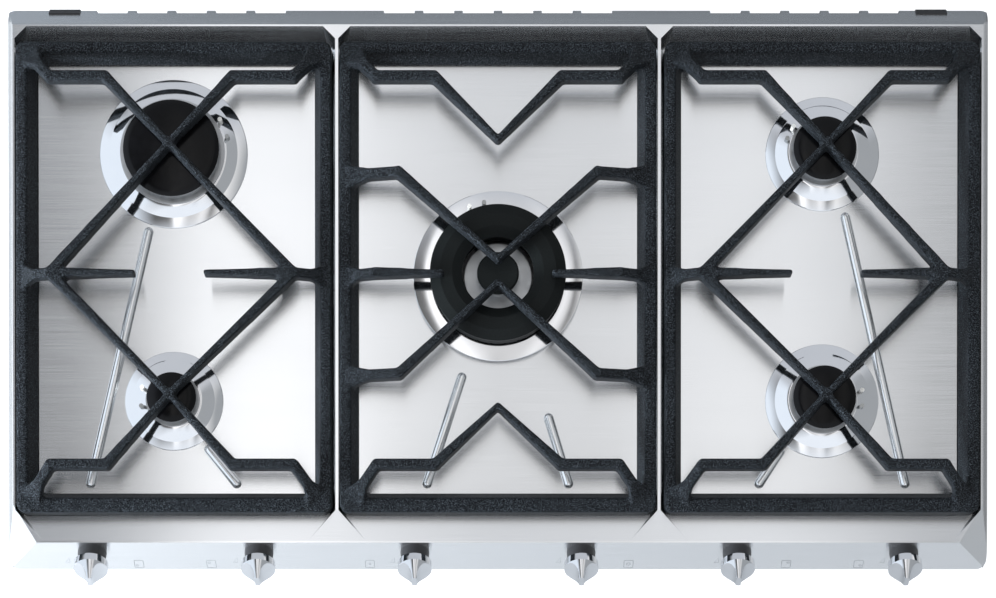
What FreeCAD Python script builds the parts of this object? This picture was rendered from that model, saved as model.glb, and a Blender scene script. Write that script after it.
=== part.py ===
import FreeCAD, Part
import math
import os
import re
import Sketcher

Vector = FreeCAD.Vector
doc = FreeCAD.newDocument("gas_cooktop")

# ---------------------------------------------------------------- driving sizes, in millimetres
# The frame: +Z up, Z = 0 on the worktop, X to the right, -Y towards the cook, origin at the
# middle of the worktop cut-out.
SIZES = {
    # top pressing
    "hob_width": 900,
    "hob_depth": 510,
    "corner_radius": 9,
    "crest_height": 36,
    "seal_thickness": 2,
    "sheet": 1.2,
    "front_run": 20,
    "rear_run": 20,
    "rear_lip": 13,
    "side_run": 9,
    "side_lip": 9,
    "corner_facet_x": 21,
    "corner_facet_y": 34,
    "well_depth": 12,
    "ridge_width": 2.8,
    "ridge_centre": 146.6,
    "well_draft": 0.9,
    "well_ramp": 28,
    "well_rear_run": 11,
    "land": 1.6,
    "facet_cut": 25,
    "rear_corner_cut": 11,
    "floor_round": 3,
    "rim_flange": 40,
    "front_flange": 25,
    # raised beads in the wells
    "bead_width": 9,
    "bead_rise": 3,
    "bead_end": 75.6,
    # vent slots and lid-hinge plugs in the rear fold
    "slot_length": 28.4,
    "slot_pitch": 36.2,
    "slot_depth": 3.6,
    "slot_drop": 8,
    "slot_group_inset": 169,
    "plug_length": 28.4,
    "plug_height": 8,
    "plug_inset": 53.5,
    "plug_setback": 3,
    "plug_lap": 2,
    "plug_head": 1.4,
    # burners: rings, crowns and caps
    "rapid_ring": 67.5,
    "rapid_line": 58.5,
    "rapid_crown": 47.5,
    "rapid_cap": 43.5,
    "semi_ring": 51.8,
    "semi_line": 43.4,
    "semi_crown": 31,
    "semi_cap": 28.5,
    "small_ring": 45,
    "small_line": 37.5,
    "small_crown": 24.5,
    "small_cap": 22.5,
    "wok_ring": 77.2,
    "wok_line": 70,
    "wok_crown": 60,
    "wok_cap": 61.7,
    "wok_cap_bore": 32.5,
    "wok_centre_cap": 19,
    "wok_cap_rise": 2,
    "wok_cap_slope": 9,
    "core_tube": 15,
    "core_step": 3,
    "core_gap": 2,
    "ring_edge": 1.6,
    "ring_shoulder": 3.6,
    "ring_top": 8,
    "wok_ring_lift": 6,
    "wok_ring_lap": 4,
    "crown_seat": 3,
    "crown_flange": 2.6,
    "crown_wall": 6,
    "spigot_gap": 1.5,
    "cap_overhang": 2,
    "cap_base": 19.5,
    "cap_edge": 2.6,
    "cap_height": 5.4,
    "cap_bevel": 5,
    "port_width": 1.6,
    "port_depth": 5,
    "seat_gap": 0.3,
    "burner_offset": 2.3,
    "rear_burner_inset": 134.5,
    "front_burner_inset": 150.5,
    # burner cups, injectors and pins under the floor
    "cup_flange": 10,
    "cup_depth": 36,
    "cup_wall": 2.2,
    "cup_inset": 6,
    "injector_radius": 4,
    "injector_height": 11,
    "injector_tail": 2,
    "injector_nut": 6.5,
    "pin_radius": 2,
    "hole_margin": 1,
    "pin_clearance": 0.2,
    "pin_height": 17,
    "thermocouple_height": 15,
    "pin_drop": 16,
    # pan stands
    "side_stand_gap": 2.7,
    "centre_stand_gap": 1.7,
    "stand_front_gap": 46.2,
    "stand_rear_gap": 37.8,
    "arm_rise": 20,
    "frame_height": 19.5,
    "frame_flat": 10,
    "frame_front_extra": 3,
    "frame_slope": 7,
    "frame_corner": 8,
    "window_corner": 5,
    "foot_height": 2.2,
    "foot_side": 16,
    "foot_inset": 6,
    "arm_wide": 8.6,
    "arm_narrow": 4.6,
    "arm_draft": 0.08,
    "arm_depth": 14,
    "knuckle_swell": 0.2,
    "root_flare": 22,
    "root_start": 12,
    "root_depth": 13,
    "root_waist": 0.45,
    "root_climb": 0.62,
    "bend_out_x": 109.5,
    "bend_in_x": 57,
    "bend_rear": 176,
    "bend_front": 172,
    "hub_round": 4.6,
    "finger_reach": 31,
    "wok_finger_reach": 48.5,
    "finger_tip": 3.4,
    "wok_arm_y": 90.4,
    "wok_arm_x": 89.2,
    "wok_apex": 10.6,
    "wok_apex_shift": 1.9,
    "v_apex_y": 119.5,
    # knobs and gas taps, measured along the tap axis from the fascia
    "knob_inner_x": 76,
    "knob_pitch": 152.6,
    "knob_margin": 78.7,
    "knob_drop": 0.38,
    "knob_radius": 15.5,
    "knob_skirt": 12,
    "knob_recess": 4.3,
    "knob_disc": 19,
    "knob_tip": 33,
    "knob_tip_radius": 5.5,
    "fin_half": 2.2,
    "scoop_radius": 13,
    "collar_radius": 13.2,
    "collar_front": 13,
    "collar_neck": 9,
    "collar_inner": 5,
    "collar_tail": 4,
    "collar_taper": 1,
    "spindle_radius": 3,
    "spindle_front": 27,
    "spindle_back": 58,
    "spindle_fit": 0.02,
    "knob_travel": 3,
    "knob_gap": 0.4,
    "running_gap": 0.3,
    "tap_front": 24,
    "tap_back": 80,
    "tap_radius": 11,
    "tap_plug_radius": 6.5,
    "tap_plug_front": 40,
    "tap_plug_back": 60,
    "plug_room": 2,
    "outlet_wall": 2,
    "tap_port_radius": 5.5,
    "branch_gap": 0.15,
    "switch_side": 20,
    "switch_thickness": 4,
    # gas rail, inlet and feed pipes
    "rail_radius": 8,
    "rail_inset": 30,
    "rail_z": -24,
    "rail_side_gap": 19,
    "rail_bend": 15,
    "inlet_thread_radius": 10.4,
    "inlet_neck_radius": 9.4,
    "inlet_neck_length": 2,
    "inlet_length": 36,
    "inlet_bore": 5,
    "inlet_nut": 13,
    "inlet_nut_length": 21,
    "pipe_radius": 3.5,
    "pipe_drop": 31.3,
    "pipe_bend": 14,
    "pipe_setback": 46,
    # casing under the worktop
    "casing_side_gap": 38,
    "casing_front_gap": 19,
    "casing_rear_gap": 33,
    "casing_depth": 48,
    "casing_sheet": 1,
    "casing_flange": 15,
    "casing_notch": 12,
    "casing_flange_setback": 20,
    "casing_corner": 6,
    "seal_width": 16,
    "seal_inset": 2,
    "seal_front_trim": 4,
    "screw_radius": 2,
    "wall_clearance": 0.3,
    "casing_screw_y": 120,
    "casing_screw_grip": 5,
    "clamp_screw_grip": 7,
    "screw_head": 4,
    "screw_head_height": 2.2,
    "clamp_width": 22,
    "clamp_sheet": 2,
    "clamp_leg": 26,
    "clamp_inset": 6,
    "clamp_x": 300,
    # electrical pieces
    "igniter_length": 76,
    "igniter_depth": 46,
    "igniter_height": 26,
    "igniter_x": -150,
    "igniter_rear_gap": 57,
    "terminal_length": 48,
    "terminal_depth": 26,
    "terminal_height": 26,
    "terminal_x": 220,
    "entry_bore": 3.8,
    "entry_radius": 8,
    "entry_length": 12,
    "entry_depth": 10,
}

# Sizes that follow from the ones above, so that what belongs together stays together.
TIED_SIZES = {
    "floor_level": "crest_height - well_depth",
    "well_outer_x": "hob_width / 2 - side_run - land",
    "ridge_inner_x": "ridge_centre - ridge_width / 2",
    "ridge_outer_x": "ridge_centre + ridge_width / 2",
    "centre_stand_width": "2 * (ridge_inner_x - centre_stand_gap)",
    "stand_width": "well_outer_x - ridge_outer_x - 2 * side_stand_gap",
    "stand_x": "(well_outer_x + ridge_outer_x) / 2",
    "stand_depth": "hob_depth - stand_front_gap - stand_rear_gap",
    "stand_y": "(stand_front_gap - stand_rear_gap) / 2",
    "frame_top": "floor_level + seat_gap + foot_height + frame_height",
    "stand_top": "frame_top + arm_rise",
    "side_burner_x": "stand_x + burner_offset",
    "rear_burner_y": "hob_depth / 2 - rear_burner_inset",
    "front_burner_y": "front_burner_inset - hob_depth / 2",
    "wok_y": "(rear_burner_y + front_burner_y) / 2",
    "slot_group_x": "hob_width / 2 - slot_group_inset",
    "plug_x": "hob_width / 2 - plug_inset",
    "knob_outer_x": "hob_width / 2 - knob_margin",
    "knob_middle_x": "knob_outer_x - knob_pitch",
    "casing_half_width": "hob_width / 2 - casing_side_gap",
    "casing_front": "casing_front_gap - hob_depth / 2",
    "casing_rear": "hob_depth / 2 - casing_rear_gap",
    "rail_y": "casing_front + rail_inset",
    "rail_end_x": "casing_half_width - rail_side_gap",
    "rail_back": "casing_rear - casing_sheet - inlet_nut_length",
    "pipe_start_y": "rail_y + pipe_setback",
    "pipe_z": "floor_level - sheet - pipe_drop",
    "igniter_y": "casing_rear - igniter_rear_gap",
}

sheet = doc.addObject("Spreadsheet::Sheet", "Sizes")
cells = {**SIZES, **{alias: "=" + text for alias, text in TIED_SIZES.items()}}
for row, (alias, value) in enumerate(cells.items(), start=1):
    sheet.set(f"A{row}", alias)
    sheet.set(f"B{row}", str(value))
    sheet.setAlias(f"B{row}", alias)
doc.recompute()


def size(alias):
    return float(getattr(sheet, alias))


def bound(text):
    """The expression text with every alias in it pointed at the sheet."""
    return re.sub(r"[a-z][a-z_]+", r"Sizes.\g<0>", str(text))


def tie(thing, path, text):
    thing.setExpression(path, bound(text))


# ---------------------------------------------------------------- ways of making pieces
def origin_feature(body, role):
    return next(feature for feature in body.Origin.OriginFeatures if feature.Role == role)


def sketch_polygon(body, name, plane, corners):
    """A closed sketch whose corners are pairs of expressions."""
    sketch = body.newObject("Sketcher::SketchObject", name)
    sketch.AttachmentSupport = [(origin_feature(body, plane), "")]
    sketch.MapMode = "FlatFace"
    count = len(corners)
    for index in range(count):
        start = 2 * math.pi * index / count
        end = 2 * math.pi * (index + 1) / count
        first = Vector(60 + 20 * math.cos(start), 20 * math.sin(start), 0)
        second = Vector(60 + 20 * math.cos(end), 20 * math.sin(end), 0)
        sketch.addGeometry(Part.LineSegment(first, second), False)
    for index in range(count):
        sketch.addConstraint(Sketcher.Constraint("Coincident", index, 2, (index + 1) % count, 1))
    for index, (across, along) in enumerate(corners):
        for kind, text in (("DistanceX", across), ("DistanceY", along)):
            number = sketch.addConstraint(Sketcher.Constraint(kind, -1, 1, index, 1, 1.0))
            tie(sketch, f"Constraints[{number}]", text)
    return sketch


def turned(name, profile):
    """A body turned about its own Z axis from a profile of (radius, height) corners."""
    body = doc.addObject("PartDesign::Body", name)
    sketch = sketch_polygon(body, name + "_profile", "XZ_Plane", profile)
    turn = body.newObject("PartDesign::Revolution", name + "_turn")
    turn.Profile = sketch
    turn.ReferenceAxis = (sketch, ["V_Axis"])
    turn.Angle = 360
    return body


def box(name, length, width, height):
    block = doc.addObject("Part::Box", name)
    tie(block, "Length", length)
    tie(block, "Width", width)
    tie(block, "Height", height)
    return block


def cylinder(name, radius, height):
    rod = doc.addObject("Part::Cylinder", name)
    tie(rod, "Radius", radius)
    tie(rod, "Height", height)
    return rod


def place(thing, x=0, y=0, z=0):
    for axis, text in (("x", x), ("y", y), ("z", z)):
        tie(thing, f"Placement.Base.{axis}", text)
    return thing


def turn_to(thing, axis, degrees):
    thing.Placement.Rotation = FreeCAD.Rotation(axis, degrees)
    return thing


def cut(name, base, tools):
    """base less its tools, as one parametric cut."""
    result = doc.addObject("Part::Cut", name)
    result.Base = base
    result.Tool = tools[0] if len(tools) == 1 else group(name + "_tools", tools)
    return result


def group(name, pieces):
    result = doc.addObject("Part::Compound", name)
    result.Links = pieces
    return result


def formed(name, shape, placement=None):
    piece = doc.addObject("Part::Feature", name)
    piece.Shape = shape
    if placement is not None:
        piece.Placement = placement
    return piece


def polygon(points):
    return Part.makePolygon([*points, points[0]])


def uprights(shape):
    """The edges that run up and down."""
    return [edge for edge in shape.Edges if edge.BoundBox.ZLength > 0.8 * edge.Length]


def lies_at(edge, height):
    """Whether an edge lies flat at this height."""
    span = edge.BoundBox
    return abs(span.ZMin - height) < 0.01 and span.ZLength < 0.01


def hexagon(centre, axis, radius, length):
    """A six-sided bar, such as a nut or a screw's head, from centre along axis."""
    turn = FreeCAD.Rotation(Vector(0, 0, 1), axis)
    corners = []
    for index in range(6):
        angle = math.radians(60 * index)
        spoke = Vector(radius * math.cos(angle), radius * math.sin(angle), 0)
        corners.append(centre + turn.multVec(spoke))
    return Part.Face(polygon(corners)).extrude(axis * length)


def below_plane(shape, point, normal):
    """shape with everything on the normal's side of the plane cut away."""
    reach = 3 * size("hob_width")
    block = Part.makeBox(reach, reach, reach, Vector(-reach / 2, -reach / 2, 0))
    block.Placement = FreeCAD.Placement(point, FreeCAD.Rotation(Vector(0, 0, 1), normal))
    return shape.cut(block)


SUBPARTS = []


def subpart(thing, label):
    thing.Label = label
    SUBPARTS.append(thing)
    return thing


# ---------------------------------------------------------------- shared places
half_width = size("hob_width") / 2
half_depth = size("hob_depth") / 2
crest = size("crest_height")
floor = size("floor_level")
fascia_rise = crest - size("seal_thickness")
fascia_tilt = math.degrees(math.atan2(fascia_rise, size("front_run")))
knob_y = -half_depth + size("front_run") * (1 - size("knob_drop"))
knob_z = crest - fascia_rise * size("knob_drop")
tap_direction = Vector(
    0, math.sin(math.radians(fascia_tilt)), -math.cos(math.radians(fascia_tilt))
)
KNOBS = {
    1: "-knob_outer_x",
    2: "-knob_middle_x",
    3: "-knob_inner_x",
    4: "knob_inner_x",
    5: "knob_middle_x",
    6: "knob_outer_x",
}


def value_of(text):
    """The value of a size's name, which may have a minus in front, or of "0"."""
    if text == "0":
        return 0.0
    return -size(text[1:]) if text.startswith("-") else size(text)


knob_x = {number: value_of(text) for number, text in KNOBS.items()}


class Burner:
    """One burner: its kind, its centre, how many ports it has and where its two pins stand."""

    def __init__(self, kind, x, y, ports, pin_reach, pin_angles):
        self.kind = kind
        self.x_text = x
        self.y_text = y
        self.ports = ports
        self.pin_reach = pin_reach
        self.pin_angles = pin_angles

    def centre(self):
        return Vector(value_of(self.x_text), size(self.y_text), 0)

    def of(self, what):
        return f"{self.kind}_{what}"

    def hole(self):
        """Radius of the hole in the well's floor."""
        return size(self.of("crown")) - size("crown_seat") + size("hole_margin")

    def pins(self):
        places = []
        for angle in self.pin_angles:
            turn = math.radians(angle)
            reach = size(self.of("crown")) + self.pin_reach
            places.append(self.centre() + Vector(reach * math.cos(turn), reach * math.sin(turn), 0))
        return places


BURNERS = {
    "rear_left": Burner("rapid", "-side_burner_x", "rear_burner_y", 12, 4.0, (32, 14)),
    "front_left": Burner("small", "-side_burner_x", "front_burner_y", 8, 4.5, (160, 193)),
    "centre": Burner("wok", "0", "wok_y", 15, 6.5, (113, 101)),
    "rear_right": Burner("semi", "side_burner_x", "rear_burner_y", 9, 4.0, (143, 162)),
    "front_right": Burner("semi", "side_burner_x", "front_burner_y", 9, 4.5, (12, -10.5)),
}


# ---------------------------------------------------------------- top pressing
def pressing_block(inset):
    """The pressing's outer form, every face moved in by inset."""
    low = size("seal_thickness") + inset
    side = Vector(half_width, 0, size("side_lip"))
    block = Part.makeBox(
        2 * (half_width - inset),
        2 * (half_depth - inset),
        crest - inset - low,
        Vector(inset - half_width, inset - half_depth, low),
    )
    block = block.makeFillet(size("corner_radius") - inset, uprights(block))
    front_normal = Vector(0, -fascia_rise, size("front_run"))
    rear_normal = Vector(0, crest - size("rear_lip"), size("rear_run"))
    planes = [
        (Vector(0, -half_depth, size("seal_thickness")), front_normal),
        (Vector(0, half_depth, size("rear_lip")), rear_normal),
    ]
    for hand in (-1, 1):
        planes.append(
            (
                Vector(hand * side.x, 0, side.z),
                Vector(hand * (crest - size("side_lip")), 0, size("side_run")),
            )
        )
        crest_x = half_width - size("side_run")
        crest_y = -half_depth + size("front_run")
        back = Vector(hand * crest_x, crest_y + size("corner_facet_y"), crest)
        across = Vector(hand * (crest_x - size("corner_facet_x")), crest_y, crest)
        foot = Vector(hand * half_width, -half_depth, size("seal_thickness"))
        normal = (across - back).cross(foot - back) * hand
        planes.append((back, normal))
    for point, normal in planes:
        normal.normalize()
        block = below_plane(block, point - normal * inset, normal)
    return block


def well_outline(left, right, front, rear, front_cut, rear_cut, height):
    lean = size("well_ramp") / size("facet_cut")
    return polygon(
        [
            Vector(left + front_cut, front, height),
            Vector(right - front_cut, front, height),
            Vector(right, front + front_cut * lean, height),
            Vector(right, rear - rear_cut, height),
            Vector(right - rear_cut, rear, height),
            Vector(left + rear_cut, rear, height),
            Vector(left, rear - rear_cut, height),
            Vector(left, front + front_cut * lean, height),
        ]
    )


def well(left, right, grow):
    """The space of one well between x = left and right at the crest, grown by grow."""
    draft = size("well_draft")
    front = -half_depth + size("front_run") + size("land")
    rear = half_depth - size("rear_run") - size("land")
    floor_front = front + size("well_ramp")
    floor_rear = rear - size("well_rear_run")
    upper = well_outline(
        left - grow,
        right + grow,
        front - grow,
        rear + grow,
        size("facet_cut"),
        size("rear_corner_cut"),
        crest,
    )
    lower = well_outline(
        left + draft - grow,
        right - draft + grow,
        floor_front - grow,
        floor_rear + grow,
        size("facet_cut") / 10,
        size("rear_corner_cut") * 0.7,
        floor - grow,
    )
    return Part.makeLoft([lower, upper], True, True)


def wells(grow):
    inner = size("ridge_inner_x")
    outer = size("ridge_outer_x")
    side = size("well_outer_x")
    return [well(left, right, grow) for left, right in ((-side, -outer), (-inner, inner), (outer, side))]


# Each bead runs from a point beside its burner's centre to the line where the floor ends in front.
BEADS = [
    ("rear_left", (-23.3, -70.8), -76.3),
    ("front_left", (31.9, -43.9), 57),
    ("centre", (-33.2, -90.6), -64.7),
    ("centre", (46.2, -127.6), 64.4),
    ("rear_right", (21.2, -57.1), 76),
    ("front_right", (-38.5, -46.1), -57.2),
]


def bead(burner, start, end_x):
    """A rounded rib standing out of the floor."""
    half = size("bead_width") / 2
    rise = size("bead_rise")
    radius = (half**2 + rise**2) / (2 * rise)
    drop = Vector(0, 0, floor + rise - radius)
    centre = burner.centre()
    first = centre + Vector(start[0], start[1], 0) + drop
    second = Vector(centre.x + end_x, size("bead_end") - half_depth, 0) + drop
    run = second - first
    rib = Part.makeCylinder(radius, run.Length, first, run)
    for point in (first, second):
        rib = rib.fuse(Part.makeSphere(radius, point))
    keep = Part.makeBox(
        2 * half_width,
        2 * half_depth,
        crest,
        Vector(-half_width, -half_depth, floor - size("sheet") / 2),
    )
    return rib.common(keep)


SLOT_GROUPS = (("-slot_group_x", 5), ("0", 6), ("slot_group_x", 5))


def slot_places():
    places = []
    for middle, count in SLOT_GROUPS:
        for index in range(count):
            places.append(value_of(middle) + (index - (count - 1) / 2) * size("slot_pitch"))
    return places


def vent(x):
    """The cutting block of one vent, a notch over the rear fold's lower edge."""
    deep = size("slot_depth")
    low = size("rear_lip") - size("slot_drop")
    corner = Vector(x - size("slot_length") / 2, half_depth - deep, low)
    return Part.makeBox(size("slot_length"), 2 * deep, crest - low, corner)


def plug_block(x, length, height, thickness, base):
    """A block square on the rear bevel, its underside base above the bevel's face."""
    fall = (crest - size("rear_lip")) / size("rear_run")
    setback = size("plug_setback")
    block = Part.makeBox(length, height, thickness, Vector(-length / 2, -height / 2, base))
    middle = Vector(x, half_depth - setback, size("rear_lip") + setback * fall)
    turn = FreeCAD.Rotation(Vector(1, 0, 0), -math.degrees(math.atan(fall)))
    block.Placement = FreeCAD.Placement(middle, turn)
    return block


def plug_tongue(x, clearance):
    """The part of a plug that goes down through the sheet, or the hole for it."""
    lap = size("plug_lap") - clearance
    below = 2 * size("sheet")
    tall = below + size("plug_head") / 2
    return plug_block(x, size("plug_length") - 2 * lap, size("plug_height") - 2 * lap, tall, -below)


CORNERS = [(-1, -1), (-1, 1), (1, -1), (1, 1)]


def casing_screw_places():
    across = size("casing_half_width") + size("casing_flange") / 2
    along = size("casing_screw_y")
    return [Vector(side * across, end * along, size("seal_thickness")) for side, end in CORNERS]


pin_hole = size("pin_radius") + size("pin_clearance")


def make_hob_top():
    block = pressing_block(0)
    for space in wells(0):
        block = block.cut(space)
    feet = [edge for edge in block.Edges if lies_at(edge, floor)]
    block = block.makeFillet(size("floor_round"), feet)
    sheet_wall = size("sheet")
    inner = pressing_block(sheet_wall)
    solid_crest = Vector(-half_width, -half_depth, crest - 3 * sheet_wall)
    inner = inner.cut(Part.makeBox(2 * half_width, 2 * half_depth, crest, solid_crest))
    for space in wells(sheet_wall):
        inner = inner.cut(space)
    opening = Part.makeBox(
        2 * (half_width - size("rim_flange")),
        2 * half_depth - size("rim_flange") - size("front_flange"),
        2 * sheet_wall,
        Vector(
            size("rim_flange") - half_width,
            size("front_flange") - half_depth,
            size("seal_thickness") - sheet_wall / 2,
        ),
    )
    skin = block.cut(inner).cut(opening)
    for name, start, end_x in BEADS:
        skin = skin.fuse(bead(BURNERS[name], start, end_x))
    tools = []
    through = Vector(0, 0, 4 * sheet_wall)
    for burner in BURNERS.values():
        start = burner.centre() + Vector(0, 0, floor) - through
        tools.append(Part.makeCylinder(burner.hole(), 2 * through.z, start))
        for pin in burner.pins():
            start = pin + Vector(0, 0, floor) - through
            tools.append(Part.makeCylinder(pin_hole, 2 * through.z, start))
    tools += [vent(x) for x in slot_places()]
    tools += [plug_tongue(hand * size("plug_x"), size("pin_clearance")) for hand in (-1, 1)]
    for x in knob_x.values():
        start = Vector(x, knob_y, knob_z) - tap_direction * through.z
        tools.append(Part.makeCylinder(size("collar_neck"), 2 * through.z, start, tap_direction))
    for point in casing_screw_places():
        tools.append(Part.makeCylinder(size("screw_radius"), 2 * through.z, point - through))
    return skin.cut(Part.makeCompound(tools))


hob_top = subpart(formed("TopPressing", make_hob_top()), "hob_top")


# ---------------------------------------------------------------- seal and under-casing
def frame_solid(outer, inner, height, base):
    """A flat frame: the outer rectangle less the inner one, each (x0, x1, y0, y1)."""
    solids = []
    for x0, x1, y0, y1 in (outer, inner):
        solids.append(Part.makeBox(x1 - x0, y1 - y0, height, Vector(x0, y0, base)))
    return solids[0].cut(solids[1])


seal_out_x = half_width - size("seal_inset")
seal_out_y = half_depth - size("seal_inset")
seal_in_x = seal_out_x - size("seal_width")
seal_in_y = seal_out_y - size("seal_width") + size("seal_front_trim")
subpart(
    formed(
        "Seal",
        frame_solid(
            (-seal_out_x, seal_out_x, -seal_out_y, seal_out_y),
            (-seal_in_x, seal_in_x, -seal_in_y, seal_in_y),
            size("seal_thickness"),
            0,
        ),
    ),
    "worktop_seal",
)


def clamp_places():
    places = []
    for hand in (-1, 1):
        across = hand * size("clamp_x")
        places.append((Vector(across, size("casing_front"), clamp_screw_z), -1))
        places.append((Vector(across, size("casing_rear"), clamp_screw_z), 1))
    return places


clamp_screw_z = -size("casing_depth") + size("clamp_leg") * 0.7
terminal_z = -size("casing_depth") + size("casing_sheet") + size("terminal_height") / 2
backward = Vector(0, 1, 0)


def hole_along(radius, point, direction, half_length):
    """A round cutting tool through point, half_length to each side of it."""
    return Part.makeCylinder(radius, 2 * half_length, point - direction * half_length, direction)


def make_casing():
    wall = size("casing_sheet")
    wide = size("casing_half_width")
    front = size("casing_front")
    rear = size("casing_rear")
    rim = size("seal_thickness")
    depth = size("casing_depth")
    tub = Part.makeBox(2 * wide, rear - front, rim + depth, Vector(-wide, front, -depth))
    tub = tub.makeFillet(size("casing_corner"), uprights(tub))
    space = Part.makeBox(
        2 * (wide - wall),
        rear - front - 2 * wall,
        rim + depth,
        Vector(wall - wide, front + wall, wall - depth),
    )
    space = space.makeFillet(size("casing_corner") - wall, uprights(space))
    reach = size("casing_flange")
    setback = size("casing_flange_setback")
    flange_corner = Vector(-wide - reach, front + setback, rim - wall)
    flange = Part.makeBox(2 * (wide + reach), rear - front + reach - setback, wall, flange_corner)
    tub = tub.fuse(flange)
    notch = size("casing_notch")
    notch_corner = Vector(-wide, front - notch / 2, rim - 2 * wall)
    tools = [space, Part.makeBox(2 * wide, notch, 4 * wall, notch_corner)]
    gap = size("wall_clearance")
    inlet = Vector(size("rail_end_x"), rear, size("rail_z"))
    entry = Vector(size("terminal_x"), rear, terminal_z)
    tools.append(hole_along(size("inlet_thread_radius") + gap, inlet, backward, 4 * wall))
    tools.append(hole_along(size("entry_radius") + gap, entry, backward, 4 * wall))
    for point in casing_screw_places():
        tools.append(hole_along(size("screw_radius"), point, Vector(0, 0, 1), 4 * wall))
    for point, hand in clamp_places():
        tools.append(hole_along(size("screw_radius"), point, backward, 4 * wall))
    for tool in tools:
        tub = tub.cut(tool)
    return tub


subpart(formed("Casing", make_casing()), "under_casing")


def screw(point, direction, grip):
    """A hexagon-head screw whose head seats on point and whose shank runs along direction."""
    shank = Part.makeCylinder(size("screw_radius"), grip, point, direction)
    head = hexagon(point, direction * -1, size("screw_head"), size("screw_head_height"))
    return shank.fuse(head)


under_flange = Vector(0, 0, -size("casing_sheet"))
casing_screws = []
for point in casing_screw_places():
    casing_screws.append(screw(point + under_flange, Vector(0, 0, 1), size("casing_screw_grip")))
subpart(formed("CasingScrews", Part.makeCompound(casing_screws)), "casing_screws")


def make_clamp(point, hand):
    """An angle strip: one leg flat on the casing's wall, one reaching under the worktop."""
    thick = size("clamp_sheet")
    wide = size("clamp_width")
    low = -size("casing_depth") + size("casing_corner")
    reach = half_depth - size("clamp_inset") - abs(point.y)
    corners = [
        (0, low),
        (0, low + size("clamp_leg")),
        (thick, low + size("clamp_leg")),
        (thick, low + thick),
        (reach, low + thick),
        (reach, low),
    ]
    left = point.x - wide / 2
    outline = polygon([Vector(left, point.y + hand * across, height) for across, height in corners])
    strip = Part.Face(outline).extrude(Vector(wide, 0, 0))
    return strip.cut(hole_along(size("screw_radius"), point, backward, 4 * thick))


clamps = [make_clamp(point, hand) for point, hand in clamp_places()]
subpart(formed("Clamps", Part.makeCompound(clamps)), "worktop_clamps")
clamp_screws = []
for point, hand in clamp_places():
    outward = Vector(0, hand, 0)
    seat = point + outward * size("clamp_sheet")
    clamp_screws.append(screw(seat, outward * -1, size("clamp_screw_grip")))
subpart(formed("ClampScrews", Part.makeCompound(clamp_screws)), "clamp_screws")


# ---------------------------------------------------------------- lid-hinge plugs
def make_hinge_plug(hand):
    """A moulded plug: a flat head on the rear bevel and a tongue down into its hole."""
    x = hand * size("plug_x")
    head = plug_block(x, size("plug_length"), size("plug_height"), size("plug_head"), 0)
    return plug_tongue(x, 0).fuse(head)


plugs = [make_hinge_plug(-1), make_hinge_plug(1)]
subpart(formed("HingePlugs", Part.makeCompound(plugs)), "hinge_plugs")


# ---------------------------------------------------------------- burners
def port_tools(name, burner, outer, top):
    """Bars across the crown, each cutting two flame ports in its wall."""
    tools = []
    for index in range(burner.ports):
        bar = box(f"{name}_port_{index}", f"2 * ({outer})", "port_width", "port_depth + 1")
        turn = 180 * index / burner.ports
        half = math.radians(turn)
        long_half = size(burner.of("cap"))
        thin_half = size("port_width") / 2
        corner = Vector(
            -long_half * math.cos(half) + thin_half * math.sin(half),
            -long_half * math.sin(half) - thin_half * math.cos(half),
            top,
        )
        bar.Placement = FreeCAD.Placement(corner, FreeCAD.Rotation(Vector(0, 0, 1), turn))
        tools.append(bar)
    return tools


def at_burner(thing, burner):
    return place(thing, burner.x_text, burner.y_text, "floor_level")


def make_ring(name, burner):
    """The polished ring: a flat edge, a shoulder band and a cone up to the crown's seat."""
    seat = f"{burner.of('crown')} - crown_seat"
    top = "ring_top"
    if burner.kind == "wok":
        foot = "wok_line - wok_ring_lap"
        profile = [
            (seat, "0"),
            (foot, "0"),
            (foot, "wok_ring_lift"),
            ("wok_ring", "wok_ring_lift"),
            ("wok_ring", "wok_ring_lift + ring_edge"),
            (seat, top),
        ]
    else:
        profile = [
            (seat, "0"),
            (burner.of("ring"), "0"),
            (burner.of("ring"), "ring_edge"),
            (burner.of("line"), "ring_shoulder"),
            (burner.of("crown"), top),
            (seat, top),
        ]
    ring = turned(name + "_ring_blank", profile)
    tools = []
    for index, pin in enumerate(burner.pins()):
        hole = cylinder(f"{name}_ring_hole_{index}", "pin_radius + pin_clearance", "2 * ring_top")
        local = pin - burner.centre()
        hole.Placement.Base = Vector(local.x, local.y, -size("ring_top") / 2)
        tools.append(hole)
    ring = cut(name + "_ring", ring, tools)
    return at_burner(ring, burner)


def make_cup(name, burner):
    """The die-cast cup under the floor: a flange, a drawn-in wall and a boss for the injector."""
    seat = f"{burner.of('crown')} - crown_seat + hole_margin"
    wall = f"{burner.of('crown')} - cup_inset"
    under = "-sheet"
    profile = [
        ("injector_radius", f"{under} - cup_depth"),
        (wall, f"{under} - cup_depth"),
        (wall, f"{under} - cup_wall"),
        (f"{seat} + cup_flange", f"{under} - cup_wall"),
        (f"{seat} + cup_flange", under),
        (f"{wall} - cup_wall", under),
        (f"{wall} - cup_wall", f"{under} - cup_depth + cup_wall"),
        ("injector_radius", f"{under} - cup_depth + cup_wall"),
    ]
    cup = turned(name + "_cup_blank", profile)
    tools = []
    for index, pin in enumerate(burner.pins()):
        hole = cylinder(f"{name}_cup_hole_{index}", "pin_radius + pin_clearance", "3 * cup_wall")
        local = pin - burner.centre()
        hole.Placement.Base = Vector(local.x, local.y, -size("sheet") - 2 * size("cup_wall"))
        tools.append(hole)
    cup = cut(name + "_cup", cup, tools)
    return at_burner(cup, burner)


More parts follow.
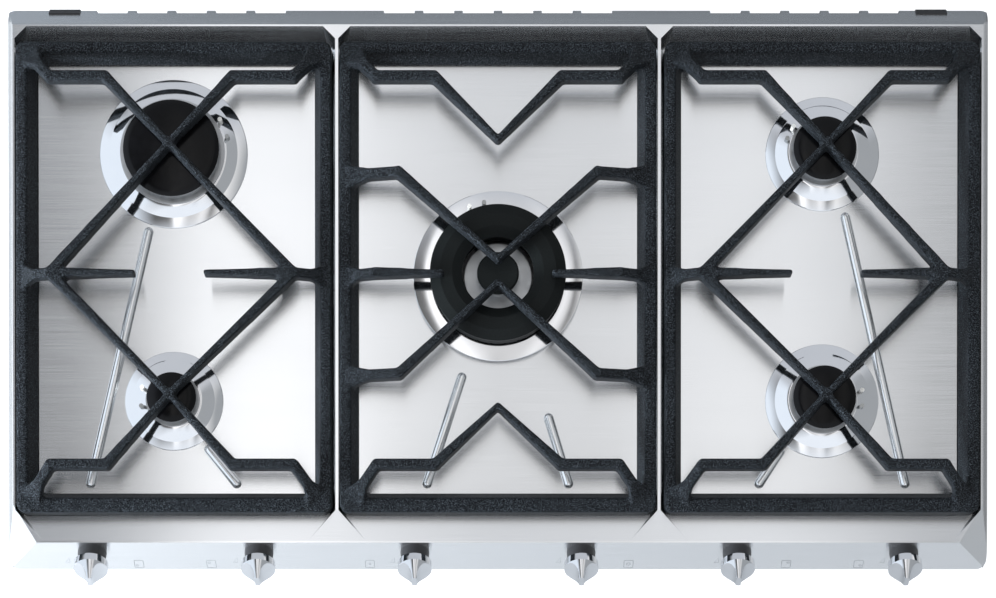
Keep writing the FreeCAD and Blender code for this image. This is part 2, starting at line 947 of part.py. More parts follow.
def make_crown(name, burner):
    """The lift-off crown: a spigot down into the cup, a flange on the ring and a wall of ports."""
    seat = "ring_top + seat_gap"
    spigot = f"{burner.of('crown')} - crown_seat - spigot_gap"
    outer = f"{burner.of('cap')} - cap_overhang"
    inner = f"{outer} - crown_wall"
    top = "cap_base"
    if burner.kind == "wok":
        inner = "wok_cap_bore + cap_overhang"
        profile = [
            (inner, "0"),
            (spigot, "0"),
            (spigot, seat),
            (burner.of("crown"), seat),
            (burner.of("crown"), top),
            (inner, top),
        ]
    else:
        profile = [
            (inner, "-sheet / 2"),
            (spigot, "-sheet / 2"),
            (spigot, seat),
            (burner.of("crown"), seat),
            (burner.of("crown"), f"{seat} + crown_flange"),
            (outer, f"{seat} + crown_flange"),
            (outer, top),
            (inner, top),
        ]
    crown = turned(name + "_crown_blank", profile)
    ports = port_tools(name, burner, burner.of("cap"), size("cap_base") - size("port_depth"))
    crown = cut(name + "_crown", crown, ports)
    return at_burner(crown, burner)


def make_cap(name, burner):
    """A cap with a straight edge and a bevel up to its flat top, sitting over the ports."""
    base = "cap_base + seat_gap"
    radius = burner.of("cap")
    profile = [
        ("0", base),
        (radius, base),
        (radius, f"{base} + cap_edge"),
        (f"{radius} - cap_bevel", f"{base} + cap_height"),
        ("0", f"{base} + cap_height"),
    ]
    return at_burner(turned(name + "_cap", profile), burner)


def make_wok_ring_cap(burner):
    """The ring-shaped cap of the double crown, sloping away from its ridge to both edges."""
    base = "cap_base + seat_gap"
    ridge = f"{base} + cap_height + wok_cap_rise"
    profile = [
        ("wok_cap_bore", base),
        ("wok_cap", base),
        ("wok_cap", f"{base} + cap_edge"),
        ("wok_cap - wok_cap_slope", ridge),
        ("wok_cap_bore + wok_cap_slope", ridge),
        ("wok_cap_bore", f"{base} + cap_edge"),
    ]
    return at_burner(turned("wok_ring_cap", profile), burner)


def make_wok_core(burner):
    """The inner crown of the double crown, standing on a tube in the middle of the cup."""
    foot = "-sheet - cup_depth + cup_wall"
    profile = [
        ("core_tube - crown_wall", foot),
        ("core_tube", foot),
        ("core_tube", "0"),
        ("wok_cap_bore - core_gap", "0"),
        ("wok_cap_bore - core_gap", "core_step"),
        ("wok_centre_cap - core_gap", "core_step"),
        ("wok_centre_cap - core_gap", "cap_base - core_step"),
        ("0", "cap_base - core_step"),
        ("0", "core_step"),
        ("core_tube - crown_wall", "core_step"),
    ]
    return at_burner(turned("wok_core", profile), burner)


def make_wok_centre_cap(burner):
    """The small flat cap in the middle of the double crown."""
    base = "cap_base - core_step + seat_gap"
    profile = [
        ("0", base),
        ("wok_centre_cap", base),
        ("wok_centre_cap", f"{base} + cap_edge"),
        ("wok_centre_cap - cap_edge / 2", f"{base} + cap_edge * 1.5"),
        ("0", f"{base} + cap_edge * 1.5"),
    ]
    return at_burner(turned("wok_centre_cap", profile), burner)


rings = []
cups = []
for name, burner in BURNERS.items():
    rings.append(make_ring(name, burner))
    cups.append(make_cup(name, burner))
subpart(group("BurnerRings", rings), "burner_rings")
subpart(group("BurnerCups", cups), "burner_cups")
for name, burner in BURNERS.items():
    subpart(make_crown(name, burner), f"{name}_crown")
    if burner.kind == "wok":
        subpart(make_wok_ring_cap(burner), "centre_ring_cap")
        subpart(make_wok_core(burner), "centre_inner_crown")
        subpart(make_wok_centre_cap(burner), "centre_inner_cap")
    else:
        subpart(make_cap(name, burner), f"{name}_cap")


def make_injectors():
    """Brass jets standing in the middle of each cup's floor."""
    jets = []
    base = floor - size("sheet") - size("cup_depth")
    for burner in BURNERS.values():
        centre = burner.centre() + Vector(0, 0, base - size("injector_tail"))
        jet = Part.makeCylinder(size("injector_radius"), size("injector_height"), centre)
        seat = centre + Vector(0, 0, size("injector_tail") + size("cup_wall"))
        nut = hexagon(seat, Vector(0, 0, 1), size("injector_nut"), size("injector_nut") / 2)
        jets.append(jet.fuse(nut))
    return Part.makeCompound(jets)


subpart(formed("Injectors", make_injectors()), "injectors")


def make_pins(which, height):
    """One pin beside each burner, from under its cup's flange to height above the well's floor."""
    pins = []
    for burner in BURNERS.values():
        base = burner.pins()[which] + Vector(0, 0, floor - size("pin_drop"))
        pins.append(Part.makeCylinder(size("pin_radius"), size("pin_drop") + height, base))
    return Part.makeCompound(pins)


subpart(formed("Electrodes", make_pins(0, size("pin_height"))), "spark_electrodes")
subpart(formed("Thermocouples", make_pins(1, size("thermocouple_height"))), "thermocouples")


# ---------------------------------------------------------------- knobs and gas taps
def on_tap_axis(thing, number):
    """Stand a piece, made along its own Z, on the axis of one tap with Z pointing at the cook."""
    turn_to(thing, Vector(1, 0, 0), fascia_tilt)
    return place(
        thing,
        KNOBS[number],
        "-hob_depth / 2 + front_run * (1 - knob_drop)",
        "crest_height - (crest_height - seal_thickness) * knob_drop",
    )


def make_collar(number):
    profile = [
        ("collar_inner", "-collar_tail"),
        ("collar_neck", "-collar_tail"),
        ("collar_neck", "0"),
        ("collar_radius", "0"),
        ("collar_radius - collar_taper", "collar_front"),
        ("collar_inner", "collar_front"),
    ]
    return on_tap_axis(turned(f"collar_{number}", profile), number)


def make_knob(number):
    """A chromed knob: a skirt over the collar, a disc, and a fin left between two scoops."""
    bore = "spindle_radius + spindle_fit"
    inside = "collar_radius + knob_gap"
    blank = turned(
        f"knob_blank_{number}",
        [
            (inside, "knob_skirt"),
            ("knob_radius", "knob_skirt"),
            ("knob_radius", "knob_disc"),
            ("knob_tip_radius", "knob_tip"),
            ("0", "knob_tip"),
            ("0", "spindle_front"),
            (bore, "spindle_front"),
            (bore, "knob_skirt + knob_recess"),
            (inside, "knob_skirt + knob_recess"),
        ],
    )
    scoops = []
    for hand in (-1, 1):
        scoop = cylinder(f"scoop_{number}_{hand + 1}", "scoop_radius", "4 * knob_radius")
        turn_to(scoop, Vector(1, 0, 0), 90)
        place(scoop, f"{hand} * (scoop_radius + fin_half)", "2 * knob_radius", "knob_disc + scoop_radius")
        scoops.append(scoop)
    return on_tap_axis(cut(f"knob_body_{number}", blank, scoops), number)


def make_spindle(number):
    rod = turned(
        f"spindle_rod_{number}",
        [
            ("0", "-spindle_back"),
            ("spindle_radius", "-spindle_back"),
            ("spindle_radius", "spindle_front"),
            ("0", "spindle_front"),
        ],
    )
    return on_tap_axis(rod, number)


def make_tap_plug(number):
    """The turning plug inside a tap, a sleeve round the spindle."""
    inner = "spindle_radius + running_gap"
    plug = turned(
        f"plug_{number}",
        [
            (inner, "-tap_plug_back"),
            ("tap_plug_radius", "-tap_plug_back"),
            ("tap_plug_radius", "-tap_plug_front"),
            (inner, "-tap_plug_front"),
        ],
    )
    return on_tap_axis(plug, number)


def make_tap(number):
    """One brass tap: its barrel, the branch on the gas rail and the outlet towards its burner."""
    origin = Vector(knob_x[number], knob_y, knob_z)
    gap = size("running_gap")

    def along(start, end, radius):
        return Part.makeCylinder(radius, end - start, origin + tap_direction * start, tap_direction)

    barrel = along(size("tap_front"), size("tap_back"), size("tap_radius"))
    rail = Vector(origin.x, size("rail_y"), size("rail_z"))
    foot = origin + tap_direction * (rail - origin).dot(tap_direction)
    branch = Part.makeCylinder(size("tap_port_radius"), (rail - foot).Length, foot, rail - foot)
    rail_bar = hole_along(size("rail_radius") + size("branch_gap"), rail, Vector(1, 0, 0), half_width)
    inside = (knob_z - size("pipe_z")) / -tap_direction.z
    outlet_start = origin + tap_direction * inside
    outlet_run = size("pipe_start_y") - outlet_start.y
    outlet = Part.makeCylinder(size("pipe_radius") + size("outlet_wall"), outlet_run, outlet_start, backward)
    body = barrel.fuse([branch, outlet]).cut(rail_bar)
    room_end = size("tap_plug_back") + size("knob_travel") + size("plug_room")
    room = along(size("tap_plug_front") - gap, room_end, size("tap_plug_radius") + gap)
    bore = along(0, size("tap_plug_front"), size("spindle_radius") + gap)
    return body.cut(room).cut(bore)


def make_switch(number):
    """The ring switch in front of a tap, closed when its knob is pressed."""
    side = size("switch_side")
    thick = size("switch_thickness")
    base = Vector(0, 0, -size("tap_front"))
    block = Part.makeBox(side, side, thick, base - Vector(side / 2, side / 2, 0))
    hole_radius = size("spindle_radius") + size("running_gap")
    block = block.cut(hole_along(hole_radius, base, Vector(0, 0, 1), 2 * thick))
    turn = FreeCAD.Rotation(Vector(1, 0, 0), fascia_tilt)
    block.Placement = FreeCAD.Placement(Vector(knob_x[number], knob_y, knob_z), turn)
    return block


subpart(group("Collars", [make_collar(number) for number in KNOBS]), "knob_collars")
taps = [make_tap(number) for number in KNOBS]
switches = [make_switch(number) for number in KNOBS]
subpart(formed("Taps", Part.makeCompound(taps)), "gas_taps")
subpart(formed("TapSwitches", Part.makeCompound(switches)), "tap_switches")
for number in KNOBS:
    subpart(make_tap_plug(number), f"tap_plug_{number}")
    subpart(make_spindle(number), f"tap_spindle_{number}")
    subpart(make_knob(number), f"knob_{number}")


# ---------------------------------------------------------------- gas rail and feed pipes
def bent_pipe(points, radius, bend):
    """A pipe along straight runs joined by tangent arcs."""
    edges = []
    start = points[0]
    for before, corner, after in zip(points, points[1:], points[2:]):
        back = (before - corner).normalize()
        ahead = (after - corner).normalize()
        half = back.getAngle(ahead) / 2
        tangent = bend / math.tan(half)
        first = corner + back * tangent
        last = corner + ahead * tangent
        middle_line = (back + ahead).normalize()
        middle = corner + middle_line * (bend / math.sin(half) - bend)
        edges.append(Part.LineSegment(start, first).toShape())
        edges.append(Part.Arc(first, middle, last).toShape())
        start = last
    edges.append(Part.LineSegment(start, points[-1]).toShape())
    path = Part.Wire(edges)
    ring = Part.Wire(Part.makeCircle(radius, points[0], points[1] - points[0]))
    return path.makePipeShell([ring], True, False)


rail_z = size("rail_z")
rail_points = [
    Vector(-size("rail_end_x"), size("rail_y"), rail_z),
    Vector(size("rail_end_x"), size("rail_y"), rail_z),
    Vector(size("rail_end_x"), size("rail_back"), rail_z),
]
subpart(formed("Rail", bent_pipe(rail_points, size("rail_radius"), size("rail_bend"))), "gas_rail")


def make_inlet():
    """The inlet: a nut inside the casing's rear wall, a neck through it and a thread behind."""
    start = Vector(size("rail_end_x"), size("rail_back"), rail_z)
    length = size("inlet_length")
    nut_length = size("inlet_nut_length")
    neck_length = size("inlet_neck_length")
    nut = hexagon(start, backward, size("inlet_nut"), nut_length)
    neck_start = start + backward * nut_length
    neck = Part.makeCylinder(size("inlet_neck_radius"), neck_length, neck_start, backward)
    thread_start = neck_start + backward * neck_length
    thread_length = length - nut_length - neck_length
    thread = Part.makeCylinder(size("inlet_thread_radius"), thread_length, thread_start, backward)
    bore_start = start + backward * (nut_length / 2)
    bore = Part.makeCylinder(size("inlet_bore"), length, bore_start, backward)
    return nut.fuse([neck, thread]).cut(bore)


subpart(formed("Inlet", make_inlet()), "gas_inlet")

FEEDS = {1: "front_left", 2: "rear_left", 3: "centre", 4: "centre", 5: "rear_right", 6: "front_right"}


def make_feed(number):
    """A pipe from one tap back to its burner's cup."""
    burner = BURNERS[FEEDS[number]]
    centre = burner.centre()
    wall = size(burner.of("crown")) - size("cup_inset")
    hand = 1 if knob_x[number] > centre.x else -1
    level = size("pipe_z")
    points = [
        Vector(knob_x[number], size("pipe_start_y"), level),
        Vector(knob_x[number], centre.y, level),
        Vector(centre.x + hand * wall, centre.y, level),
    ]
    return bent_pipe(points, size("pipe_radius"), size("pipe_bend"))


subpart(formed("Feeds", Part.makeCompound([make_feed(number) for number in KNOBS])), "feed_pipes")

# ---------------------------------------------------------------- electrical pieces
casing_floor = "-casing_depth + casing_sheet"
igniter = box("IgniterBox", "igniter_length", "igniter_depth", "igniter_height")
place(igniter, "igniter_x - igniter_length / 2", "igniter_y - igniter_depth / 2", casing_floor)
subpart(igniter, "spark_generator")


def make_terminal():
    """The mains terminal: a box on the casing's rear wall and a gland out through it."""
    inner_wall = size("casing_rear") - size("casing_sheet")
    length = size("terminal_length")
    depth = size("terminal_depth")
    height = size("terminal_height")
    corner = Vector(size("terminal_x") - length / 2, inner_wall - depth, terminal_z - height / 2)
    block = Part.makeBox(length, depth, height, corner)
    start = Vector(size("terminal_x"), inner_wall - size("entry_depth"), terminal_z)
    reach = size("entry_depth") + size("entry_length")
    gland = Part.makeCylinder(size("entry_radius"), reach, start, backward)
    bore = Part.makeCylinder(size("entry_bore"), 2 * reach, start, backward)
    return block.fuse(gland).cut(bore)


subpart(formed("Terminal", make_terminal()), "mains_terminal")


# ---------------------------------------------------------------- pan stands
arm_top = size("stand_top")
arm_low = arm_top - size("arm_depth")
frame_top = size("frame_top")


def across(start, end):
    """The level direction square to the run from start to end."""
    run = end - start
    return Vector(-run.y, run.x, 0).normalize()


def section(point, side, width, low, top):
    """A slice across an arm, width wide on top and a little wider underneath."""
    half = width / 2
    base = half + size("arm_draft") * (top - low)
    corners = ((base, low), (-base, low), (-half, top), (half, top))
    return polygon([point + side * out + Vector(0, 0, height) for out, height in corners])


def bar(start, end, start_width, end_width):
    """An arm of the stand from start to end."""
    side = across(start, end)
    first = section(start, side, start_width, arm_low, arm_top)
    last = section(end, side, end_width, arm_low, arm_top)
    return Part.makeLoft([first, last], True, True)


def knuckle(point, radius):
    """The rounded corner where arms meet, a little prouder than their sides."""
    depth = size("arm_depth")
    upper = radius + size("knuckle_swell")
    lower = upper + size("arm_draft") * depth
    return Part.makeCone(lower, upper, depth, Vector(point.x, point.y, arm_low))


def root(start, end):
    """The root of an arm: flared where it leaves the frame, it climbs to the arm's height."""
    side = across(start, end)
    foot = frame_top - size("root_depth")
    climb = size("root_climb")
    waist = start + (end - start) * size("root_waist")
    waist_low = foot + (arm_low - foot) * climb
    waist_top = frame_top + (arm_top - frame_top) * climb
    sections = [
        section(start, side, size("root_flare"), foot, frame_top),
        section(waist, side, size("arm_wide") + 2 * size("arm_draft"), waist_low, waist_top),
        section(end, side, size("arm_wide"), arm_low, arm_top),
    ]
    return Part.makeLoft(sections, True, True)


def stand_frame(width):
    """The perimeter frame: upright outside, sloping inside, with a foot at each corner."""
    depth = size("stand_depth")
    low = frame_top - size("frame_height")
    outer = Part.makeBox(width, depth, size("frame_height"), Vector(-width / 2, -depth / 2, low))
    outer = outer.makeFillet(size("frame_corner"), uprights(outer))

    def window_outline(inset, height):
        x = width / 2 - inset
        rear = depth / 2 - inset
        front = inset + size("frame_front_extra") - depth / 2
        corners = ((-x, front), (x, front), (x, rear), (-x, rear))
        return polygon([Vector(left, back, height) for left, back in corners])

    flat = size("frame_flat")
    under = window_outline(flat + size("frame_slope"), low)
    window = Part.makeLoft([under, window_outline(flat, frame_top)], True, True)
    frame = outer.cut(window.makeFillet(size("window_corner"), uprights(window)))
    foot = size("foot_side")
    drop = size("foot_height")
    for side, end in CORNERS:
        x = side * (width / 2 - foot / 2 - size("foot_inset"))
        y = end * (depth / 2 - foot / 2 - size("foot_inset"))
        corner = Vector(x - foot / 2, y - foot / 2, low - drop)
        frame = frame.fuse(Part.makeBox(foot, foot, 2 * drop, corner))
    return frame


def corner_arms(width, hub_x, front_y, rear_y, end_radius):
    """From each corner of the frame in to a bend, along, and on to the front or rear end point."""
    wide = size("arm_wide")
    narrow = size("arm_narrow")
    start_x = width / 2 - size("root_start")
    start_y = size("stand_depth") / 2 - size("root_start")
    pieces = []
    for side, end in CORNERS:
        along = size("bend_rear") if end > 0 else -size("bend_front")
        start = Vector(side * start_x, end * start_y, 0)
        bend = Vector(side * size("bend_out_x"), along, 0)
        turn = Vector(hub_x + side * size("bend_in_x"), along, 0)
        last = Vector(hub_x, rear_y if end > 0 else front_y, 0)
        pieces += [root(start, bend), knuckle(bend, wide / 2), bar(bend, turn, wide, wide)]
        pieces += [knuckle(turn, wide / 2), bar(turn, last, wide, narrow), knuckle(last, end_radius)]
    return pieces


def finger(width, tip_x, tip_width, hand):
    """A root at the middle of the frame's side and the finger that goes on from it."""
    start = Vector(hand * (width / 2 - size("frame_flat") / 2), 0, 0)
    node = Vector(hand * size("bend_out_x"), 0, 0)
    wide = size("arm_wide")
    pieces = [root(start, node), knuckle(node, wide / 2)]
    pieces.append(bar(node, Vector(tip_x, 0, 0), wide, tip_width))
    return pieces


def side_stand_arms(hand):
    """Arms that meet over the two burners of one side; hand is 1 for the right-hand stand."""
    width = size("stand_width")
    hub_x = hand * size("burner_offset")
    front = size("front_burner_y") - size("stand_y")
    rear = size("rear_burner_y") - size("stand_y")
    pieces = corner_arms(width, hub_x, front, rear, size("hub_round"))
    for side in (-1, 1):
        pieces += finger(width, hub_x + side * size("finger_reach"), size("finger_tip"), side)
        node = Vector(side * size("bend_out_x"), 0, 0)
        for hub_y in (front, rear):
            pieces.append(bar(node, Vector(hub_x, hub_y, 0), size("arm_wide"), size("arm_narrow")))
    return pieces


def centre_stand_arms():
    """Two shallow V arms, two that meet in pairs beside the burner's middle, and two fingers."""
    width = size("centre_stand_width")
    wide = size("arm_wide")
    narrow = size("arm_narrow")
    apex = size("v_apex_y")
    pieces = corner_arms(width, 0, -apex, apex, narrow / 2)
    for side in (-1, 1):
        pieces += finger(width, side * size("wok_finger_reach"), size("finger_tip"), side)
    for side, end in CORNERS:
        start = Vector(side * (width / 2 - size("frame_flat") / 2), end * size("wok_arm_y"), 0)
        bend = Vector(side * size("wok_arm_x"), end * size("wok_arm_y"), 0)
        last = Vector(0, size("wok_apex_shift") + end * size("wok_apex"), 0)
        pieces += [root(start, bend), knuckle(bend, wide / 2)]
        pieces += [bar(bend, last, wide, narrow), knuckle(last, narrow / 2)]
    return pieces


def make_stand(name, width, arms, x):
    """One casting of a frame and its arms, seated in the well whose middle is at x."""
    casting = stand_frame(width).fuse(arms).removeSplitter()
    return formed(name, casting, FreeCAD.Placement(Vector(x, size("stand_y"), 0), FreeCAD.Rotation()))


stand_width = size("stand_width")
stand_x = size("stand_x")
centre_stand = make_stand("CentreStand", size("centre_stand_width"), centre_stand_arms(), 0)
subpart(make_stand("LeftStand", stand_width, side_stand_arms(-1), -stand_x), "pan_stand_left")
subpart(centre_stand, "pan_stand_centre")
subpart(make_stand("RightStand", stand_width, side_stand_arms(1), stand_x), "pan_stand_right")

# ---------------------------------------------------------------- check and write every sub-part
doc.recompute()
for thing in doc.Objects:
    if "Invalid" in thing.State or "Error" in thing.State:
        raise RuntimeError(f"{thing.Label} failed: {thing.State}")
os.makedirs("parts", exist_ok=True)
for thing in SUBPARTS:
    if thing.Shape.isNull() or not thing.Shape.isValid() or not thing.Shape.Solids:
        raise RuntimeError(f"{thing.Label} has no valid solid")
    thing.Shape.exportStep(f"parts/{thing.Label}.step")
    print(thing.Label, len(thing.Shape.Solids), len(thing.Shape.Faces), round(thing.Shape.Volume))
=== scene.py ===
import math
import bmesh
import bpy
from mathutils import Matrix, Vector


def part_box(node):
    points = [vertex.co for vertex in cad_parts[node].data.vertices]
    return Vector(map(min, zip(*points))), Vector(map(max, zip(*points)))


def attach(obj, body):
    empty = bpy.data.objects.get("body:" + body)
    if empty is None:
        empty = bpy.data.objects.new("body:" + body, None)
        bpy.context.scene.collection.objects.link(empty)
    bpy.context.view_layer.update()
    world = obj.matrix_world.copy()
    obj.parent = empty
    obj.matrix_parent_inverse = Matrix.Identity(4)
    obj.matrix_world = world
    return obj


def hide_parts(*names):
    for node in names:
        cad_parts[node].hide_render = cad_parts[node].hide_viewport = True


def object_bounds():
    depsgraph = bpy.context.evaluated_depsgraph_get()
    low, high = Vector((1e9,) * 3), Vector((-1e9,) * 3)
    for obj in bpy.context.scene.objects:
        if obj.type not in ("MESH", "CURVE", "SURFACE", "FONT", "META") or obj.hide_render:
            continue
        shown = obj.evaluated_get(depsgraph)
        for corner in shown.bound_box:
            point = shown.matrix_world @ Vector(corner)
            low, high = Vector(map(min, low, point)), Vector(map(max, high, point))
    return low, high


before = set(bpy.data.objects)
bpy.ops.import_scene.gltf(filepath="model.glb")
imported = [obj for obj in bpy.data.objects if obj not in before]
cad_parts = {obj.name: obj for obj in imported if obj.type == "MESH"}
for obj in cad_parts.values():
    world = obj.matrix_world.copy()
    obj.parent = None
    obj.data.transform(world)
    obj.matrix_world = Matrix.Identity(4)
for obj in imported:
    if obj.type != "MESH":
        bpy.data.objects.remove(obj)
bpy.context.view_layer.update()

# Under-casing, with its clamps and screws. Folded from galvanised sheet, it closes the cooktop
# from below and hangs from the rim's flange on four screws. Four angle clips hold the worktop.
ZINC_DARK = (0.42, 0.44, 0.45, 1)
ZINC_LIGHT = (0.66, 0.68, 0.69, 1)
ZINC_SPANGLE = 55.0


def new_material(name, metallic, roughness):
    """A node material: the material, its tree, its shader and the Object coordinates."""
    material = bpy.data.materials.new(name)
    material.use_nodes = True
    tree = material.node_tree
    shader = tree.nodes["Principled BSDF"]
    shader.inputs["Metallic"].default_value = metallic
    shader.inputs["Roughness"].default_value = roughness
    place = tree.nodes.new("ShaderNodeTexCoord").outputs["Object"]
    return material, tree, shader, place


def stretched(tree, place, scale):
    """The place scaled by a different number along each axis."""
    mapping = tree.nodes.new("ShaderNodeMapping")
    mapping.inputs["Scale"].default_value = scale
    tree.links.new(place, mapping.inputs["Vector"])
    return mapping.outputs["Vector"]


def noise_on(tree, place, scale, detail=4.0, rough=0.55):
    texture = tree.nodes.new("ShaderNodeTexNoise")
    texture.inputs["Scale"].default_value = scale
    texture.inputs["Detail"].default_value = detail
    texture.inputs["Roughness"].default_value = rough
    tree.links.new(place, texture.inputs["Vector"])
    return texture.outputs["Fac"]


def spread(tree, value, low, high, to_low, to_high):
    """The value remapped from low..high to to_low..to_high, and held there."""
    remap = tree.nodes.new("ShaderNodeMapRange")
    remap.inputs["From Min"].default_value = low
    remap.inputs["From Max"].default_value = high
    remap.inputs["To Min"].default_value = to_low
    remap.inputs["To Max"].default_value = to_high
    tree.links.new(value, remap.inputs["Value"])
    return remap.outputs["Result"]


def between(tree, factor, first, second):
    """A colour between two, by factor."""
    mix = tree.nodes.new("ShaderNodeMix")
    mix.data_type = "RGBA"
    mix.inputs["A"].default_value = first
    mix.inputs["B"].default_value = second
    tree.links.new(factor, mix.inputs["Factor"])
    return mix.outputs["Result"]


def relief(tree, shader, height, strength, depth):
    """Bump from a height value, depth in metres."""
    bump = tree.nodes.new("ShaderNodeBump")
    bump.inputs["Strength"].default_value = strength
    bump.inputs["Distance"].default_value = depth
    tree.links.new(height, bump.inputs["Height"])
    tree.links.new(bump.outputs["Normal"], shader.inputs["Normal"])


def galvanised_sheet():
    material, tree, shader, place = new_material("galvanised_sheet", 1.0, 0.45)
    cells = tree.nodes.new("ShaderNodeTexVoronoi")
    cells.inputs["Scale"].default_value = ZINC_SPANGLE
    tree.links.new(place, cells.inputs["Vector"])
    shade = tree.nodes.new("ShaderNodeSeparateColor")
    tree.links.new(cells.outputs["Color"], shade.inputs["Color"])
    spangle = shade.outputs["Red"]
    tree.links.new(between(tree, spangle, ZINC_DARK, ZINC_LIGHT), shader.inputs["Base Color"])
    tree.links.new(spread(tree, spangle, 0, 1, 0.36, 0.55), shader.inputs["Roughness"])
    relief(tree, shader, noise_on(tree, place, 400), 0.2, 0.0002)
    return material


def dress(material, slot, *nodes):
    """Give CAD nodes their material. The slot is not used."""
    for node in nodes:
        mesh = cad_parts[node].data
        mesh.materials.clear()
        mesh.materials.append(material)


zinc = galvanised_sheet()
dress(zinc, "galvanised_steel", "under_casing", "casing_screws", "worktop_clamps", "clamp_screws")

# Worktop seal: a strip of closed-cell foam stuck under the rim, squeezed between the steel and
# the worktop so that spills stay on top.
FOAM_BLACK = (0.018, 0.018, 0.018, 1)
FOAM_GREY = (0.05, 0.05, 0.05, 1)


def closed_foam():
    material, tree, shader, place = new_material("closed_foam", 0.0, 0.92)
    cells = noise_on(tree, place, 900, 3)
    tree.links.new(between(tree, cells, FOAM_BLACK, FOAM_GREY), shader.inputs["Base Color"])
    relief(tree, shader, cells, 0.6, 0.0004)
    return material


dress(closed_foam(), "black_rubber", "worktop_seal")

# Gas train under the top: a plated steel rail carries six brass taps, and soft aluminium tubes
# run from the taps to the burner cups. The inlet is a brass stub through the rear wall.
PLATED_DARK = (0.34, 0.35, 0.35, 1)
PLATED_LIGHT = (0.52, 0.53, 0.52, 1)
BRASS_DARK = (0.52, 0.36, 0.13, 1)
BRASS_LIGHT = (0.74, 0.56, 0.26, 1)
TUBE_DARK = (0.55, 0.56, 0.57, 1)
TUBE_LIGHT = (0.72, 0.73, 0.74, 1)


def worked_metal(name, dark, light, roughness, scale):
    """A bare metal with fine tool marks and slight staining."""
    material, tree, shader, place = new_material(name, 1.0, roughness)
    marks = noise_on(tree, place, scale, 6)
    tree.links.new(between(tree, marks, dark, light), shader.inputs["Base Color"])
    wear = spread(tree, marks, 0.3, 0.7, roughness * 0.75, roughness * 1.3)
    tree.links.new(wear, shader.inputs["Roughness"])
    relief(tree, shader, noise_on(tree, place, scale * 12, 2), 0.15, 0.0001)
    return material


plated = worked_metal("zinc_plate", PLATED_DARK, PLATED_LIGHT, 0.36, 60)
brass = worked_metal("machined_brass", BRASS_DARK, BRASS_LIGHT, 0.3, 70)
tube = worked_metal("drawn_tube", TUBE_DARK, TUBE_LIGHT, 0.34, 45)
dress(plated, "turned_steel", "gas_rail", "thermocouples", *[f"tap_spindle_{n}" for n in range(1, 7)])
dress(brass, "brass", "gas_taps", "gas_inlet", "injectors", *[f"tap_plug_{n}" for n in range(1, 7)])
dress(tube, "aluminium_tube", "feed_pipes")

# Electrical pieces: ring switches on the taps, the spark generator and the mains terminal are
# moulded boxes, and the electrodes are ceramic sleeves.
BLACK_MOULDED = (0.014, 0.014, 0.015, 1)
BLACK_SHEEN = (0.03, 0.03, 0.032, 1)
GREY_MOULDED = (0.2, 0.2, 0.21, 1)
GREY_SHEEN = (0.3, 0.3, 0.31, 1)
CERAMIC_WARM = (0.75, 0.72, 0.66, 1)
CERAMIC_WHITE = (0.86, 0.85, 0.82, 1)


def moulded(name, dark, light, roughness):
    material, tree, shader, place = new_material(name, 0.0, roughness)
    grain = noise_on(tree, place, 700, 3)
    tree.links.new(between(tree, grain, dark, light), shader.inputs["Base Color"])
    wear = spread(tree, grain, 0.3, 0.7, roughness * 0.85, roughness * 1.2)
    tree.links.new(wear, shader.inputs["Roughness"])
    relief(tree, shader, grain, 0.25, 0.0001)
    return material


black_moulded = moulded("black_moulded", BLACK_MOULDED, BLACK_SHEEN, 0.42)
dress(black_moulded, "black_plastic", "tap_switches", "spark_generator", "hinge_plugs")
dress(moulded("grey_moulded", GREY_MOULDED, GREY_SHEEN, 0.5), "grey_plastic", "mains_terminal")
ceramic = moulded("glazed_ceramic", CERAMIC_WARM, CERAMIC_WHITE, 0.18)
dress(ceramic, "white_ceramic", "spark_electrodes")

# Top pressing: one sheet of stainless steel, brushed from side to side, with three wells, raised
# beads and slots for the hot air at the back. The fascia in front leans at the knobs' angle.
STEEL_DARK = (0.84, 0.85, 0.86, 1)
STEEL_LIGHT = (0.94, 0.945, 0.95, 1)
BRUSH_LENGTH = 16.0
BRUSH_FINE = 4200.0


def brushed_steel():
    """Stainless sheet whose brush marks run from side to side."""
    material, tree, shader, place = new_material("brushed_steel", 1.0, 0.19)
    shader.inputs["Anisotropic"].default_value = 1.0
    lie = tree.nodes.new("ShaderNodeCombineXYZ")
    lie.inputs["Y"].default_value = 1
    tree.links.new(lie.outputs["Vector"], shader.inputs["Tangent"])
    lines = noise_on(tree, stretched(tree, place, (BRUSH_LENGTH, BRUSH_FINE, BRUSH_FINE)), 1.0, 2, 0.5)
    broad = noise_on(tree, stretched(tree, place, (2.5, 30, 30)), 1.0, 3)
    mixed = tree.nodes.new("ShaderNodeMath")
    mixed.operation = "MULTIPLY_ADD"
    mixed.inputs[1].default_value = 0.3
    tree.links.new(broad, mixed.inputs[0])
    tree.links.new(lines, mixed.inputs[2])
    tone = spread(tree, mixed.outputs[0], 0.35, 0.95, 0, 1)
    tree.links.new(between(tree, tone, STEEL_DARK, STEEL_LIGHT), shader.inputs["Base Color"])
    tree.links.new(spread(tree, lines, 0.3, 0.7, 0.16, 0.22), shader.inputs["Roughness"])
    relief(tree, shader, lines, 0.04, 0.0001)
    return material


def copy_of(node, name):
    """A merged copy of a CAD node's mesh, as a new object at the origin."""
    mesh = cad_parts[node].data.copy()
    mesh.name = name
    shape = bmesh.new()
    shape.from_mesh(mesh)
    bmesh.ops.remove_doubles(shape, verts=shape.verts, dist=1e-6)
    shape.to_mesh(mesh)
    shape.free()
    mesh.materials.clear()
    piece = bpy.data.objects.new(name, mesh)
    bpy.context.scene.collection.objects.link(piece)
    return piece


def baked(piece):
    """Turn a piece's modifiers into plain mesh."""
    graph = bpy.context.evaluated_depsgraph_get()
    mesh = bpy.data.meshes.new_from_object(piece.evaluated_get(graph), depsgraph=graph)
    piece.modifiers.clear()
    piece.data = mesh
    return piece


